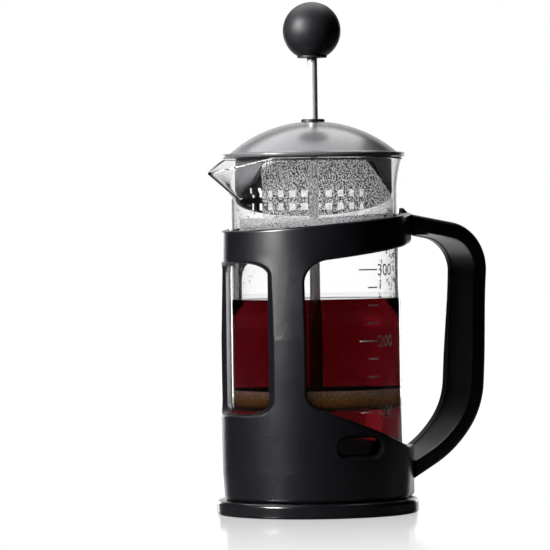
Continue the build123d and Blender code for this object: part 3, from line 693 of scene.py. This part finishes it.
def make_scale():
    """Plain fill scale printed on the glass, with figures at its longer marks."""
    vertices = []
    faces = []

    def put(points, shape, z):
        first = len(vertices)
        vertices.extend(wrap_on_glass(points, PRINT_ANGLE, z))
        faces.extend(tuple(first + i for i in face) for face in shape)

    floor_z = beaker_foot + BEAKER_FLOOR
    for volume in range(FIRST_VOLUME, LAST_VOLUME + 1, VOLUME_STEP):
        z = floor_z + volume / MILLILITRES_PER_METRE
        with_figures = volume % FIGURE_STEP == 0
        length = LARGE_MARK if with_figures else LITTLE_MARK
        put(*flat_bar(-length, 0.0, -LINE_WIDTH / 2, LINE_WIDTH / 2), z)
        if with_figures:
            put(*figures(str(volume), FIGURE_HEIGHT), z - FIGURE_HEIGHT / 2)
    new_piece("fill_scale", vertices, faces, enamel(), "beaker", smooth=False)


# ------------------------------------------------------------------ edge coil
WIRE = 0.26 * MM            # the wire's radius
COIL_TURNS = 170
COIL_STEPS = 9              # to a turn
WIRE_SIDES = 5


def make_coil():
    """Wound spring round the edge of the spiral plate, as one endless wire."""
    corner_low, corner_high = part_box("edge_coil")
    middle = (corner_low.z + corner_high.z) / 2
    turn_radius = (corner_high.z - corner_low.z) / 2 - WIRE
    path_radius = corner_high.x - turn_radius - WIRE
    count = COIL_TURNS * COIL_STEPS
    path = []
    for step in range(count):
        along = 2 * math.pi * step / count
        roll = 2 * math.pi * step / COIL_STEPS
        radius = path_radius + turn_radius * math.cos(roll)
        height = middle + turn_radius * math.sin(roll)
        path.append(Vector((radius * math.cos(along), radius * math.sin(along), height)))
    vertices = []
    for step in range(count):
        forward = (path[(step + 1) % count] - path[step - 1]).normalized()
        side = forward.cross(UP).normalized()
        up = side.cross(forward)
        for k in range(WIRE_SIDES):
            turn = 2 * math.pi * k / WIRE_SIDES
            vertices.append(path[step] + (side * math.cos(turn) + up * math.sin(turn)) * WIRE)
    faces = []
    for step in range(count):
        here = step * WIRE_SIDES
        after = (step + 1) % count * WIRE_SIDES
        for k in range(WIRE_SIDES):
            m = (k + 1) % WIRE_SIDES
            faces.append((here + k, here + m, after + m, after + k))
    surface = steel("spring_wire", (0.62, 0.60, 0.57), 0.3, 3000, 3000)
    piece = new_piece("edge_spring", vertices, faces, surface, "plunger")
    turn_faces_out(piece)
    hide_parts("edge_coil")


# ------------------------------------------------------------ dress CAD nodes
def dress(surface, *names):
    """Gives CAD nodes a material."""
    for name in names:
        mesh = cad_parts[name].data
        mesh.materials.clear()
        mesh.materials.append(surface)


# Mouldings: node, shade, roughness, grains to a metre, grain's depth in millimetres, gloss level.
MOULDINGS = {
    "frame_plastic": ("frame_body", (0.0028, 0.0026, 0.0040), 0.29, 1900, 0.035, 0.5),
    "handle_plastic": ("handle_shell", (0.0030, 0.0028, 0.0038), 0.36, 2300, 0.012, 0.5),
    "liner_plastic": ("handle_liner", (0.0030, 0.0028, 0.0038), 0.34, 2300, 0.012, 0.5),
    "foot_plastic": ("base_plate", (0.0050, 0.0045, 0.0060), 0.20, 1500, 0.006, 0.5),
    # The lid's dome is black plastic given a light grey shade, which paints in the sheen of the light from
    # above.
    "lid_plastic_painted_sheen": ("lid_dome", (0.060, 0.060, 0.064), 0.25, 2600, 0.008, 0.5),
    # The lid's strainer is the same black plastic given a light grey shade, which paints in the light that
    # falls on it.
    "strainer_plastic_painted_light": ("lid_strainer", (0.055, 0.053, 0.057), 0.46, 2200, 0.015, 0.5),
    "knob_plastic": ("knob_ball", (0.0042, 0.0040, 0.0056), 0.50, 2600, 0.05, 0.26),
    "bush_plastic": ("rod_guide_bush", (0.0030, 0.0030, 0.0034), 0.42, 2000, 0.005, 0.35),
}


def dress_all():
    """Finish of every CAD node that shows."""
    for name, (part, shade, roughness, grain, depth, specular) in MOULDINGS.items():
        dress(moulded_plastic(name, shade, roughness, grain, depth * MM, specular), part)
    dress(rubber(), "non_slip_pad", "beaker_cushion")
    dress(steel("rod_steel", (0.64, 0.62, 0.60), 0.40, 2600, 60, metallic=0.6), "plunger_rod")
    plate = steel("plate_steel", (0.62, 0.60, 0.57), 0.32, 900, 900)
    dress(plate, "spiral_plate", "cross_plate", "rod_collar", "hub_nut")
    screw = steel("screw_steel", (0.60, 0.60, 0.60), 0.3, 2000, 2000)
    dress(screw, "base_screws", "handle_screw_upper", "handle_screw_lower")
    dress(brass(), "knob_insert")
    dress(woven_mesh(), "mesh_filter")


# --------------------------------------------------------------- light, floor
FLOOR_RADIUS = 6.0
FLOOR_MATT = 0.07           # how much light it scatters
FLOOR_ROUGHNESS = 0.10
FLOOR_IOR = 1.45
MIRROR_BESIDE = 0.70        # at grazing incidence, beside the object
MIRROR_AWAY = 0.28          # the same, further out
MIRROR_FADE = (0.05, 0.22)  # metres off the axis
FLOOR_LIFT = 0.08           # added to the floor's white further out
LIFT_FADE = (0.15, 1.2)     # metres off the axis
FLOOR_IN_GLOSS = 0.9        # level of the floor's white in the object's gloss
WHITE_START = 0.86          # cosine of the angle off the way that the camera looks
WHITE_FULL = 0.895
WHITE_ON_MATT = 0.5         # share of the white that matt surfaces get
GLASS_LOSS = 0.16           # what is added again to white seen through glass


def background_ray(tree):
    """Whether a ray shows the background, straight or through glass, and whether gloss bent it."""
    path = node(tree, "ShaderNodeLightPath")
    seen = math_node(tree, "ADD", path.outputs["Is Camera Ray"], path.outputs["Is Transmission Ray"])
    straight = math_node(tree, "LESS_THAN", path.outputs["Glossy Depth"], 0.5)
    reflected = math_node(tree, "SUBTRACT", 1.0, straight)
    return math_node(tree, "MULTIPLY", math_node(tree, "MINIMUM", seen, 1.0), straight), reflected


def through_glass(tree):
    """Level of the background: white, with what glass takes away made up for."""
    path = node(tree, "ShaderNodeLightPath")
    loss = math_node(tree, "MULTIPLY", path.outputs["Is Transmission Ray"], GLASS_LOSS)
    return math_node(tree, "ADD", loss, 1.0)


def behind_object(tree, direction, level):
    """Level of a white screen behind the object, and nothing on the camera's side of it."""
    away = {0: direction, 1: tuple(-towards_camera)}
    cosine = node(tree, "ShaderNodeVectorMath", away, operation="DOT_PRODUCT").outputs["Value"]
    return remap(tree, cosine, WHITE_START, WHITE_FULL, 0.0, level)


def add_world():
    """White where the background is seen, while the object itself gets white only from behind."""
    world = bpy.data.worlds.new("studio")
    bpy.context.scene.world = world
    world.use_nodes = True
    tree = world.node_tree
    tree.nodes.clear()
    where = node(tree, "ShaderNodeTexCoord").outputs["Generated"]
    behind = behind_object(tree, where, 1.0)
    seen, reflected = background_ray(tree)
    soft = math_node(tree, "MULTIPLY", behind, WHITE_ON_MATT)
    level = node(tree, "ShaderNodeMix", {"Factor": reflected, 2: soft, 3: behind}).outputs[0]
    level = node(tree, "ShaderNodeMix", {"Factor": seen, 2: level, 3: through_glass(tree)}).outputs[0]
    background = node(tree, "ShaderNodeBackground", {"Color": (1, 1, 1, 1), "Strength": level})
    output = node(tree, "ShaderNodeOutputWorld")
    tree.links.new(background.outputs[0], output.inputs["Surface"])


def floor_body(tree, where, distance):
    """Matt floor with a glow of its own, so that it shows as white as the background."""
    seen, reflected = background_ray(tree)
    outwards = node(tree, "ShaderNodeVectorMath", {0: where}, operation="NORMALIZE").outputs[0]
    shown = remap(tree, distance, *LIFT_FADE, 1.0, 1.0 + FLOOR_LIFT)
    mirrored = behind_object(tree, outwards, FLOOR_IN_GLOSS)
    shown = math_node(tree, "MULTIPLY", seen, shown)
    mirrored = math_node(tree, "MULTIPLY", reflected, mirrored)
    level = math_node(tree, "ADD", shown, mirrored)
    glow = node(tree, "ShaderNodeEmission", {"Color": (1, 1, 1, 1), "Strength": level})
    matt = node(tree, "ShaderNodeBsdfDiffuse", {"Color": (*grey(FLOOR_MATT), 1)})
    body = node(tree, "ShaderNodeAddShader")
    tree.links.new(glow.outputs[0], body.inputs[0])
    tree.links.new(matt.outputs[0], body.inputs[1])
    return body.outputs[0]


def floor_polish(tree, distance):
    """Share of the floor's gloss: most at grazing incidence and beside the object."""
    grazing = node(tree, "ShaderNodeFresnel", {"IOR": FLOOR_IOR}).outputs["Fac"]
    polish = remap(tree, distance, *MIRROR_FADE, MIRROR_BESIDE, MIRROR_AWAY)
    return math_node(tree, "MULTIPLY", grazing, polish)


def add_floor():
    """White polished table top that keeps a faint reflection of the object."""
    bpy.ops.mesh.primitive_circle_add(vertices=96, radius=FLOOR_RADIUS, fill_type="NGON")
    floor = bpy.context.object
    floor.name = "table_top"
    made = bpy.data.materials.new("table_top")
    made.use_nodes = True
    tree = made.node_tree
    tree.nodes.clear()
    where = node(tree, "ShaderNodeNewGeometry").outputs["Position"]
    distance = node(tree, "ShaderNodeVectorMath", {0: where}, operation="LENGTH").outputs["Value"]
    mirror = node(tree, "ShaderNodeBsdfGlossy", {"Color": (1, 1, 1, 1), "Roughness": FLOOR_ROUGHNESS})
    mixed = node(tree, "ShaderNodeMixShader", {"Fac": floor_polish(tree, distance)})
    tree.links.new(floor_body(tree, where, distance), mixed.inputs[1])
    tree.links.new(mirror.outputs[0], mixed.inputs[2])
    output = node(tree, "ShaderNodeOutputMaterial")
    tree.links.new(mixed.outputs[0], output.inputs["Surface"])
    floor.data.materials.append(made)


def softbox(name, left, rise, distance, width, height, radiance, aim_height=0.10, spread=180.0):
    """Area light, some degrees to the camera's left and above the place on the axis it aims at."""
    lift = math.radians(rise)
    direction = on_wall(math.cos(lift), CAMERA_ANGLE - left, math.sin(lift))
    light = bpy.data.lights.new(name, "AREA")
    light.shape = "RECTANGLE"
    light.size = width
    light.size_y = height
    light.spread = math.radians(spread)
    light.energy = radiance * math.pi * width * height
    lamp = bpy.data.objects.new(name, light)
    bpy.context.scene.collection.objects.link(lamp)
    lamp.location = UP * aim_height + direction * distance
    lamp.rotation_euler = (-direction).to_track_quat("-Z", "Y").to_euler()
    lamp.visible_camera = False
    lamp.visible_transmission = False


def add_lights():
    """Key light from the left, a strip behind on each side, and a wide one above and behind."""
    softbox(
        "key_light", left=55, rise=21, distance=0.9, width=0.28, height=0.36, radiance=5.2,
        aim_height=0.165, spread=29.0,
    )
    softbox("left_strip", left=158, rise=0, distance=1.0, width=0.18, height=0.26, radiance=5.0)
    softbox("right_strip", left=-160, rise=0, distance=1.0, width=0.12, height=0.40, radiance=2.5)
    softbox("top_light", left=165, rise=66, distance=0.9, width=1.0, height=0.80, radiance=4.0)


bpy.context.scene.view_settings.view_transform = "Standard"
add_camera()
add_world()
add_floor()
add_lights()
dress_all()
make_beaker()
make_coffee()
make_fog()
make_wet_band()
make_drops()
make_scale()
make_coil()
